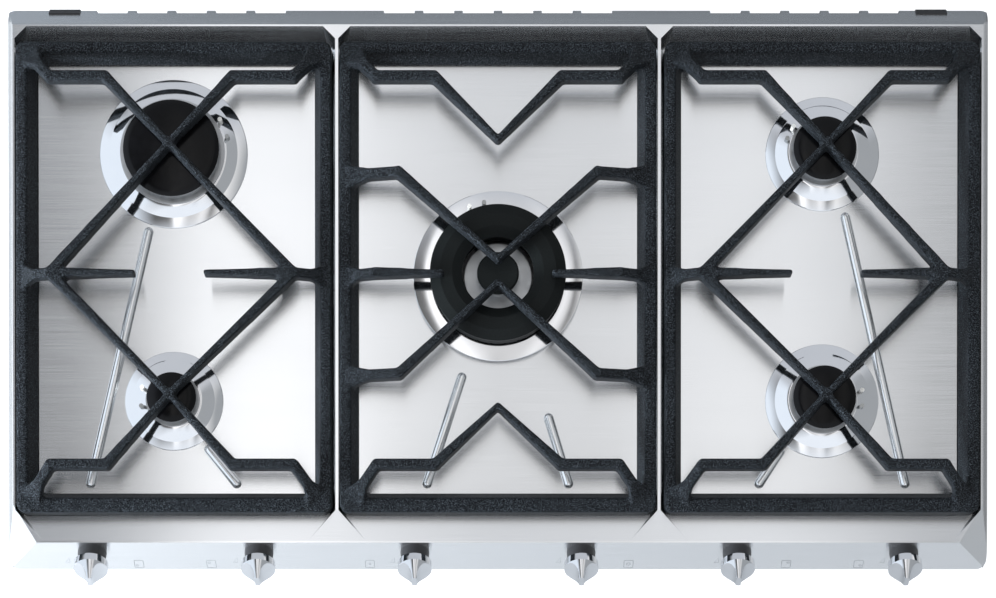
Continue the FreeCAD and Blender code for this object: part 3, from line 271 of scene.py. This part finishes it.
def seated(piece, body, slot, *nodes):
    """Fix a piece to its body and let it stand for its CAD nodes."""
    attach(piece, body)
    if nodes:
        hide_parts(*nodes)
    return piece


def smooth_by_angle(piece, degrees):
    """Shade smooth, but keep edges sharper than the angle crisp."""
    mesh = piece.data
    for face in mesh.polygons:
        face.use_smooth = True
    shape = bmesh.new()
    shape.from_mesh(mesh)
    for edge in shape.edges:
        turn = edge.calc_face_angle(math.pi) if len(edge.link_faces) == 2 else math.pi
        edge.smooth = turn < math.radians(degrees)
    shape.to_mesh(mesh)
    shape.free()
    return piece


SHEET_CREASE = 32
LEVEL = 0.9999
GENTLE = 0.85
SIDEWAYS = 0.05
RAMP_FRONT, RAMP_REAR = -0.2338, -0.2035
RAMP_LOW, RAMP_HIGH = 0.024, 0.0365
RAMP_LEAN = (0, 0.1, 0.995)


def eased_pressing(piece):
    """Level sheet shades level up to its edges, and the wells' front ramps nearly so."""
    mesh = piece.data
    normals = [Vector(loop.vector) for loop in mesh.corner_normals]
    level = {vertex for face in mesh.polygons if face.normal.z > LEVEL for vertex in face.vertices}
    for face in mesh.polygons:
        if face.normal.z <= GENTLE:
            continue
        centre = face.center
        on_ramp = RAMP_FRONT < centre.y < RAMP_REAR and RAMP_LOW < centre.z < RAMP_HIGH
        for loop in face.loop_indices:
            if on_ramp and abs(face.normal.x) < SIDEWAYS:
                normals[loop] = Vector(RAMP_LEAN)
            elif mesh.loops[loop].vertex_index in level:
                normals[loop] = Vector((0, 0, 1))
    mesh.normals_split_custom_set(normals)


steel = brushed_steel()
hob_top = copy_of("hob_top", "top_pressing")
hob_top.data.materials.append(steel)
smooth_by_angle(hob_top, SHEET_CREASE)
eased_pressing(hob_top)
seated(hob_top, "root", "brushed_stainless", "hob_top")

# Burner rings, cups and crowns: polished steel rings over the holes in the wells, cast cups
# underneath, and cast crowns with flame ports that lift off. Each row of RINGS has the burner's
# place in millimetres, then the radii of the ring's rim and step and of the crown inside it.
POLISH_TONE = (0.78, 0.79, 0.81, 1)
POLISH_WARM = (0.84, 0.84, 0.85, 1)
CAST_DARK = (0.42, 0.43, 0.44, 1)
CAST_LIGHT = (0.62, 0.63, 0.64, 1)
MM = 0.001
ROUND_STEPS = 128
RINGS = {
    "rear_left": (-296, 120.5, 67.5, 58.5, 47.5),
    "front_left": (-296, -104.5, 45, 37.5, 24.5),
    "rear_right": (296, 120.5, 51.8, 43.4, 31),
    "front_right": (296, -104.5, 51.8, 43.4, 31),
}
RING_SEAT = 3
RING_FLANGE = 1.6
RING_RISE = 8
RING_CREASE = 12
EDGE_ROUND = 0.8
ARC_STEPS = 4
WELL_FLOOR = 24


def polished_steel():
    material, tree, shader, place = new_material("polished_steel", 1.0, 0.07)
    haze = noise_on(tree, place, 40, 4)
    tree.links.new(between(tree, haze, POLISH_TONE, POLISH_WARM), shader.inputs["Base Color"])
    tree.links.new(spread(tree, haze, 0.3, 0.7, 0.045, 0.1), shader.inputs["Roughness"])
    return material


def turned(name, profile, centre, material, crease):
    """A solid of revolution: profile is (radius, height) in millimetres, anticlockwise."""
    shape = bmesh.new()
    rings = []
    for radius, height in profile:
        if radius < 1e-6:
            rings.append([shape.verts.new((centre[0] * MM, centre[1] * MM, height * MM))])
            continue
        ring = []
        for step in range(ROUND_STEPS):
            turn = 2 * math.pi * step / ROUND_STEPS
            x = centre[0] + radius * math.cos(turn)
            y = centre[1] + radius * math.sin(turn)
            ring.append(shape.verts.new((x * MM, y * MM, height * MM)))
        rings.append(ring)
    for first, second in zip(rings, rings[1:] + rings[:1]):
        if len(first) == 1 and len(second) == 1:
            continue
        for step in range(ROUND_STEPS):
            after = (step + 1) % ROUND_STEPS
            corners = [first[step % len(first)]]
            if len(second) > 1:
                corners += [second[step], second[after]]
            else:
                corners += [second[0]]
            if len(first) > 1:
                corners.append(first[after])
            shape.faces.new(corners)
    bmesh.ops.recalc_face_normals(shape, faces=shape.faces)
    mesh = bpy.data.meshes.new(name)
    shape.to_mesh(mesh)
    shape.free()
    mesh.materials.append(material)
    piece = bpy.data.objects.new(name, mesh)
    bpy.context.scene.collection.objects.link(piece)
    return smooth_by_angle(piece, crease)


def rounded(profile, radius):
    """The profile, with an arc at each corner that has a third value: its multiple of the radius."""
    result = []
    count = len(profile)
    for index, corner in enumerate(profile):
        if len(corner) < 3:
            result.append(corner[:2])
            continue
        here = Vector(corner[:2])
        back = Vector(profile[index - 1][:2]) - here
        ahead = Vector(profile[(index + 1) % count][:2]) - here
        reach = min(radius * corner[2], back.length * 0.45, ahead.length * 0.45)
        start = here + back.normalized() * reach
        end = here + ahead.normalized() * reach
        for step in range(ARC_STEPS + 1):
            part = step / ARC_STEPS
            point = start * (1 - part) ** 2 + here * 2 * part * (1 - part) + end * part**2
            result.append((point.x, point.y))
    return result


polish = polished_steel()
cast = worked_metal("cast_aluminium", CAST_DARK, CAST_LIGHT, 0.38, 90)
dress(cast, "cast_aluminium", "burner_cups", "centre_inner_crown")
for name, (x, y, outer, line, crown) in RINGS.items():
    seat = crown - RING_SEAT
    low = WELL_FLOOR
    profile = [
        (seat, low),
        (outer, low, 1),
        (outer, low + RING_FLANGE, 1),
        (line, low + 3.6),
        (line - 0.5, low + 3.9),
        (crown + 1, low + RING_RISE, 2),
        (seat, low + RING_RISE, 1),
    ]
    ring = turned(f"{name}_ring", rounded(profile, EDGE_ROUND), (x, y), polish, RING_CREASE)
    seated(ring, "root", "polished_steel")

# Caps: pressed steel under black enamel, each laid over its crown's ports. The four outer burners
# have glossy ones, and the double burner's caps and outer crown are matt.
GLOSS_BLACK = (0.002, 0.002, 0.002, 1)
GLOSS_DEEP = (0.004, 0.004, 0.005, 1)
MATT_BLACK = (0.004, 0.005, 0.005, 1)
MATT_GREY = (0.012, 0.014, 0.014, 1)
GLOSS_SHINE = 0.16
MATT_SHINE = 0.12
CAP_CREASE = 40


def gloss_enamel():
    material, tree, shader, place = new_material("gloss_enamel", 0.0, 0.14)
    shader.inputs["Specular IOR Level"].default_value = GLOSS_SHINE
    cloud = noise_on(tree, place, 120, 4)
    tree.links.new(between(tree, cloud, GLOSS_BLACK, GLOSS_DEEP), shader.inputs["Base Color"])
    tree.links.new(spread(tree, cloud, 0.3, 0.7, 0.1, 0.2), shader.inputs["Roughness"])
    relief(tree, shader, noise_on(tree, place, 180, 2), 0.05, 0.0004)
    return material


def matt_enamel():
    material, tree, shader, place = new_material("matt_enamel", 0.0, 0.5)
    shader.inputs["Specular IOR Level"].default_value = MATT_SHINE
    cloud = noise_on(tree, place, 900, 4)
    tree.links.new(between(tree, cloud, MATT_BLACK, MATT_GREY), shader.inputs["Base Color"])
    relief(tree, shader, cloud, 0.2, 0.0002)
    return material


gloss = gloss_enamel()
matt = matt_enamel()
for name in RINGS:
    low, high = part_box(f"{name}_cap")
    x, y = (low.x + high.x) / 2 / MM, (low.y + high.y) / 2 / MM
    radius = (high.y - low.y) / 2 / MM
    base, top = low.z / MM, high.z / MM
    profile = [
        (0, base),
        (radius - 1, base, 1),
        (radius, base + 0.8, 1),
        (radius, base + 2.4, 2),
        (radius - 4, top - 1.2, 3),
        (radius * 0.6, top - 0.35),
        (radius * 0.3, top - 0.05),
        (0, top),
    ]
    cap = turned(f"{name}_cap_enamel", rounded(profile, EDGE_ROUND), (x, y), gloss, CAP_CREASE)
    seated(cap, f"{name}_cap", "gloss_black_enamel", f"{name}_cap")
    dress(cast, "cast_aluminium", f"{name}_crown")
dress(matt, "matt_black_enamel", "centre_crown", "centre_ring_cap", "centre_inner_cap")

# Wok burner ring: a raised plate round the double crown, pressed from polished steel. A short
# wall under it stands on the well's floor.
WOK_CENTRE = (0, 8)
WOK_CREASE = 20
wok_profile = [
    (57, WELL_FLOOR),
    (66, WELL_FLOOR),
    (66, 30),
    (77.2, 30, 1),
    (77.2, 31.6, 1.5),
    (61, 32, 1),
    (57, 32, 1),
]
wok_rounded = rounded(wok_profile, EDGE_ROUND)
wok_ring = turned("centre_ring", wok_rounded, WOK_CENTRE, polish, WOK_CREASE)
seated(wok_ring, "root", "polished_steel", "burner_rings")

# Pan stands: cast iron under a rough, dark enamel, speckled with painted glints of its grain. Each
# stand is one casting, a frame with arms that climb from it and meet over the burners. Its edges are
# rounded by the sand.
# The iron's own mottled tones, then the tone of the light flecks painted on as glints of the cast
# grain.
IRON_BLACK = (0.002, 0.002, 0.0025, 1)
IRON_GREY = (0.024, 0.028, 0.032, 1)
IRON_PAINTED_GLINT = (0.15, 0.175, 0.2, 1)
IRON_SHINE = 0.1
CASTING_GRAIN = 0.0015
CASTING_PASSES = 4


def iron_with_painted_glints():
    """Near-black mottled enamel over sand-cast iron, with light flecks painted on as glints where its
    grains catch the light.
    """
    material, tree, shader, place = new_material("iron_with_painted_glints", 0.0, 0.5)
    shader.inputs["Specular IOR Level"].default_value = IRON_SHINE
    mottle = noise_on(tree, place, 800, 4, 0.7)
    base = between(tree, spread(tree, mottle, 0.47, 0.6, 0, 1), IRON_BLACK, IRON_GREY)
    # Painted glints: light flecks in the base colour where the cast grain would catch the light.
    painted_glints = spread(tree, noise_on(tree, place, 1300, 2), 0.58, 0.66, 0, 0.6)
    mix = tree.nodes.new("ShaderNodeMix")
    mix.data_type = "RGBA"
    mix.inputs["B"].default_value = IRON_PAINTED_GLINT
    tree.links.new(painted_glints, mix.inputs["Factor"])
    tree.links.new(base, mix.inputs["A"])
    tree.links.new(mix.outputs["Result"], shader.inputs["Base Color"])
    tree.links.new(spread(tree, mottle, 0.3, 0.7, 0.42, 0.62), shader.inputs["Roughness"])
    relief(tree, shader, mottle, 0.7, 0.0006)
    return material


def casting(node, name, body):
    """The CAD stand with its edges and inside corners softened as sand casting leaves them."""
    piece = copy_of(node, name)
    grain = piece.modifiers.new("grain", "REMESH")
    grain.mode = "VOXEL"
    grain.voxel_size = CASTING_GRAIN
    soften = piece.modifiers.new("soften", "SMOOTH")
    soften.factor = 0.5
    soften.iterations = CASTING_PASSES
    baked(piece)
    for face in piece.data.polygons:
        face.use_smooth = True
    piece.data.materials.clear()
    piece.data.materials.append(iron)
    return seated(piece, body, "cast_iron_enamel", node)


iron = iron_with_painted_glints()
for side in ("left", "centre", "right"):
    casting(f"pan_stand_{side}", f"stand_{side}_casting", f"stand_{side}")

# Knobs: black moulded collars pressed into the fascia, and zinc knobs under mirror chrome, each
# with a fin left between two scoops for the fingers.
CHROME_TONE = (0.80, 0.81, 0.83, 1)
CHROME_DEEP = (0.70, 0.71, 0.73, 1)
KNOB_CREASE = 30
KNOB_EDGE = 0.0005
KNOB_EDGE_ANGLE = 35


def mirror_chrome():
    material, tree, shader, place = new_material("mirror_chrome", 1.0, 0.04)
    haze = noise_on(tree, place, 90, 3)
    tree.links.new(between(tree, haze, CHROME_DEEP, CHROME_TONE), shader.inputs["Base Color"])
    tree.links.new(spread(tree, haze, 0.3, 0.7, 0.03, 0.07), shader.inputs["Roughness"])
    return material


chrome = mirror_chrome()
dress(black_moulded, "black_plastic", "knob_collars")
for number in range(1, 7):
    knob = copy_of(f"knob_{number}", f"knob_chrome_{number}")
    knob.data.materials.append(chrome)
    smooth_by_angle(knob, KNOB_CREASE)
    edge = knob.modifiers.new("edge", "BEVEL")
    edge.width = KNOB_EDGE
    edge.segments = 3
    edge.limit_method = "ANGLE"
    edge.angle_limit = math.radians(KNOB_EDGE_ANGLE)
    edge.harden_normals = False
    baked(knob)
    seated(knob, f"knob_{number}", "chrome_plate", f"knob_{number}")

# Marks etched in the fascia beside the knobs: a wedge for low to high, and a square with a ring
# that shows which burner the tap serves. Lengths are in millimetres, heights up the fascia. Each
# row of KNOB_MARKS has how far to the side the wedge and the square stand, and the place in the
# square and the radius of the ring.
MARK_DARK = (0.2, 0.21, 0.22, 1)
MARK_LIGHT = (0.3, 0.31, 0.32, 1)
MARK_LINE = 0.5
MARK_RISE = 0.05
FASCIA_POINT = Vector((0, -242.6, 23.08))
FASCIA_UP = Vector((0, 0.50702, 0.861934))
FASCIA_OUT = Vector((0, -0.861934, 0.50702))
WEDGE = [(-2, -3.6), (2, -3.6), (2, 3.6)]
WEDGE_HEIGHT = -10.6
SQUARE_HEIGHT = -16.6
SQUARE_HALF = 4.2
SQUARE_ROUND = 1.2
SQUARE_STRETCH = 1.3
CORNER_STEPS = 5
RING_STEPS = 20
KNOB_MARKS = [
    (-395.5, -330.4, (-1.8, -2.0), 1.1),
    (-241.5, -263.8, (-1.8, 2.0), 1.1),
    (-97.0, -117.8, (0, 0), 0.9),
    (55.5, 120.1, (0, 0), 1.7),
    (200.7, 265.1, (1.8, 2.0), 1.1),
    (353.2, 331.8, (1.8, -2.0), 1.1),
]


def etched_line(shape, x, height, points):
    """A closed line of a rectangular section, lying on the fascia."""
    rows = []
    for index, point in enumerate(points):
        here = Vector(point)
        back = (here - Vector(points[index - 1])).normalized()
        ahead = (Vector(points[(index + 1) % len(points)]) - here).normalized()
        run = (back + ahead).normalized()
        side = Vector((run.y, -run.x)) * (MARK_LINE / 2)
        row = []
        for reach, rise in ((1, -MARK_RISE), (1, MARK_RISE), (-1, MARK_RISE), (-1, -MARK_RISE)):
            flat = here + side * reach
            spot = FASCIA_POINT + Vector((x + flat.x, 0, 0))
            spot += FASCIA_UP * (height + flat.y) + FASCIA_OUT * rise
            row.append(shape.verts.new(spot * MM))
        rows.append(row)
    for first, second in zip(rows, rows[1:] + rows[:1]):
        for corner in range(4):
            after = (corner + 1) % 4
            shape.faces.new((first[corner], first[after], second[after], second[corner]))


def arc(x, y, radius, start, stop, steps):
    """Points on a circle from start to stop, in quarter turns."""
    turns = [math.radians(90 * (start + (stop - start) * step / steps)) for step in range(steps)]
    return [(x + radius * math.cos(turn), y + radius * math.sin(turn)) for turn in turns]


mark_shape = bmesh.new()
inset = SQUARE_HALF - SQUARE_ROUND
for wedge_x, square_x, ring_place, ring_radius in KNOB_MARKS:
    etched_line(mark_shape, wedge_x, WEDGE_HEIGHT, WEDGE)
    outline = []
    for quarter, (hand_x, hand_y) in enumerate(((1, 1), (-1, 1), (-1, -1), (1, -1))):
        outline += arc(hand_x * inset, hand_y * inset, SQUARE_ROUND, quarter, quarter + 1, CORNER_STEPS)
    tall = [(x, y * SQUARE_STRETCH) for x, y in outline]
    etched_line(mark_shape, square_x, SQUARE_HEIGHT, tall)
    ring_points = arc(*ring_place, ring_radius, 0, 4, RING_STEPS)
    etched_line(mark_shape, square_x, SQUARE_HEIGHT, ring_points)
bmesh.ops.recalc_face_normals(mark_shape, faces=mark_shape.faces)
mark_mesh = bpy.data.meshes.new("fascia_marks")
mark_shape.to_mesh(mark_mesh)
mark_shape.free()
mark_mesh.materials.append(moulded("etched_grey", MARK_DARK, MARK_LIGHT, 0.6))
fascia_marks = bpy.data.objects.new("fascia_marks", mark_mesh)
bpy.context.scene.collection.objects.link(fascia_marks)
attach(fascia_marks, "root")

# The studio floor: pale and matt, level with the casing's underside. The camera sees it lifted
# to white, and it keeps the cooktop's shadow.
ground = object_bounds()[0].z
FLOOR_HALF = 4.0
FLOOR_TONE = (0.46, 0.462, 0.465, 1)
FLOOR_LIFT = 0.8
FLOOR_CORNERS = [
    (-FLOOR_HALF, -FLOOR_HALF, ground),
    (FLOOR_HALF, -FLOOR_HALF, ground),
    (FLOOR_HALF, FLOOR_HALF, ground),
    (-FLOOR_HALF, FLOOR_HALF, ground),
]
floor_mesh = bpy.data.meshes.new("studio_floor")
floor_mesh.from_pydata(FLOOR_CORNERS, [], [(0, 1, 2, 3)])
studio_floor = bpy.data.objects.new("studio_floor", floor_mesh)
bpy.context.scene.collection.objects.link(studio_floor)
floor_material, floor_tree, floor_shader, _ = new_material("studio_floor", 0.0, 0.9)
floor_shader.inputs["Base Color"].default_value = FLOOR_TONE
floor_shader.inputs["Emission Color"].default_value = (1, 1, 1, 1)
seen = floor_tree.nodes.new("ShaderNodeLightPath").outputs["Is Camera Ray"]
lift = spread(floor_tree, seen, 0, 1, 0, FLOOR_LIFT)
floor_tree.links.new(lift, floor_shader.inputs["Emission Strength"])
floor_mesh.materials.append(floor_material)

# The light tent: overhead a strip from left to right, given as how far to the side the light
# comes from and its brightness, and round it four panels: the way each faces, the angles at which
# it fades out and is full, and its tone.
OVERHEAD = [
    (-0.24, 0.12),
    (-0.155, 0.14),
    (-0.13, 0.5),
    (-0.112, 1.45),
    (-0.07, 1.35),
    (-0.035, 0.95),
    (-0.005, 0.72),
    (0.05, 0.82),
    (0.09, 1.1),
    (0.13, 0.85),
    (0.165, 0.25),
    (0.24, 0.2),
]
OVERHEAD_REACH = 0.25
TENT_PANELS = [
    ((-1, 0, 0.6), 45, 34, (0.95, 1.04, 1.15, 1)),
    ((1, 0, 0.6), 45, 34, (0.4, 0.42, 0.44, 1)),
    ((0, -1, 0.5), 52, 34, (1.0, 1.06, 1.14, 1)),
    ((0, 1, 0.6), 46, 32, (0.62, 0.65, 0.7, 1)),
]
world = bpy.data.worlds.new("studio")
bpy.context.scene.world = world
world.use_nodes = True
sky = world.node_tree
backdrop = sky.nodes["Background"]
outward = sky.nodes.new("ShaderNodeTexCoord").outputs["Generated"]
sideways = sky.nodes.new("ShaderNodeSeparateXYZ")
sky.links.new(outward, sideways.inputs["Vector"])
strip = sky.nodes.new("ShaderNodeValToRGB")
strip.color_ramp.interpolation = "LINEAR"
across = spread(sky, sideways.outputs["X"], -OVERHEAD_REACH, OVERHEAD_REACH, 0, 1)
sky.links.new(across, strip.inputs["Fac"])
stops = strip.color_ramp.elements
ends = {0: stops[0], len(OVERHEAD) - 1: stops[1]}
ends[0].position = 0
ends[len(OVERHEAD) - 1].position = 1
for number, (reach, level) in enumerate(OVERHEAD):
    stop = ends.get(number) or stops.new((reach + OVERHEAD_REACH) / (2 * OVERHEAD_REACH))
    stop.color = (level, level, level * 1.01, 1)
tent = strip.outputs["Color"]
for direction, outer, inner, tone in TENT_PANELS:
    facing = sky.nodes.new("ShaderNodeVectorMath")
    facing.operation = "DOT_PRODUCT"
    facing.inputs[1].default_value = Vector(direction).normalized()
    sky.links.new(outward, facing.inputs[0])
    edges = math.cos(math.radians(outer)), math.cos(math.radians(inner))
    mix = sky.nodes.new("ShaderNodeMix")
    mix.data_type = "RGBA"
    mix.inputs["B"].default_value = tone
    sky.links.new(spread(sky, facing.outputs["Value"], *edges, 0, 1), mix.inputs["Factor"])
    sky.links.new(tent, mix.inputs["A"])
    tent = mix.outputs["Result"]
white = sky.nodes.new("ShaderNodeMix")
white.data_type = "RGBA"
white.inputs["B"].default_value = (1, 1, 1, 1)
sky.links.new(sky.nodes.new("ShaderNodeLightPath").outputs["Is Camera Ray"], white.inputs["Factor"])
sky.links.new(tent, white.inputs["A"])
sky.links.new(white.outputs["Result"], backdrop.inputs["Color"])
backdrop.inputs["Strength"].default_value = 1.0

# Two soft lamps, a bluish one low on the left and one high behind, which mirrors don't show.
LEFT_TINT = (0.86, 0.93, 1)


def soft_lamp(name, place, aim, size, power):
    data = bpy.data.lights.new(name, "AREA")
    data.shape = "RECTANGLE"
    data.size, data.size_y = size
    data.energy = power
    lamp = bpy.data.objects.new(name, data)
    lamp.location = place
    lamp.rotation_euler = (Vector(aim) - Vector(place)).to_track_quat("-Z", "Y").to_euler()
    lamp.visible_camera = False
    lamp.visible_glossy = False
    bpy.context.scene.collection.objects.link(lamp)
    return lamp


left_lamp = soft_lamp("left_lamp", (-1.7, -0.6, 0.46), (0, 0, 0.04), (0.9, 0.4), 95)
left_lamp.data.color = LEFT_TINT
soft_lamp("rear_lamp", (-0.1, 1.3, 2.0), (0, 0, 0), (0.6, 0.5), 12)

# A dark card behind the hob, rising to the rear, which only mirrors see.
CARD_TONE = (0.16, 0.17, 0.18, 1)
CARD_HALF = 1.4
CARD_FRONT, CARD_REAR = 0.262, 1.6
CARD_LOW, CARD_HIGH = ground + 0.01, 0.25
CARD_CORNERS = [
    (-CARD_HALF, CARD_FRONT, CARD_LOW),
    (CARD_HALF, CARD_FRONT, CARD_LOW),
    (CARD_HALF, CARD_REAR, CARD_HIGH),
    (-CARD_HALF, CARD_REAR, CARD_HIGH),
]
card_mesh = bpy.data.meshes.new("dark_card")
card_mesh.from_pydata(CARD_CORNERS, [], [(0, 1, 2, 3)])
card_material, _, card_shader, _ = new_material("dark_card", 0.0, 0.9)
card_shader.inputs["Base Color"].default_value = CARD_TONE
card_mesh.materials.append(card_material)
dark_card = bpy.data.objects.new("dark_card", card_mesh)
dark_card.visible_camera = False
dark_card.visible_diffuse = False
dark_card.visible_shadow = False
bpy.context.scene.collection.objects.link(dark_card)

# The camera stands high above the hob, 0.3 m in front of its front edge, and looks almost
# straight down. The shift brings the hob into the picture with its sides parallel.
CAMERA_PLACE = (0, -0.5603, 2.4534)
CAMERA_TILT = -0.647
CAMERA_LENS = 95.84
CAMERA_SHIFT = 0.6335
camera_data = bpy.data.cameras.new("photo_camera")
camera_data.sensor_width = 36
camera_data.lens = CAMERA_LENS
camera_data.shift_y = CAMERA_SHIFT
camera = bpy.data.objects.new("photo_camera", camera_data)
camera.location = CAMERA_PLACE
camera.rotation_euler = (math.radians(CAMERA_TILT), 0, 0)
bpy.context.scene.collection.objects.link(camera)
bpy.context.scene.camera = camera
bpy.context.scene.view_settings.view_transform = "Standard"
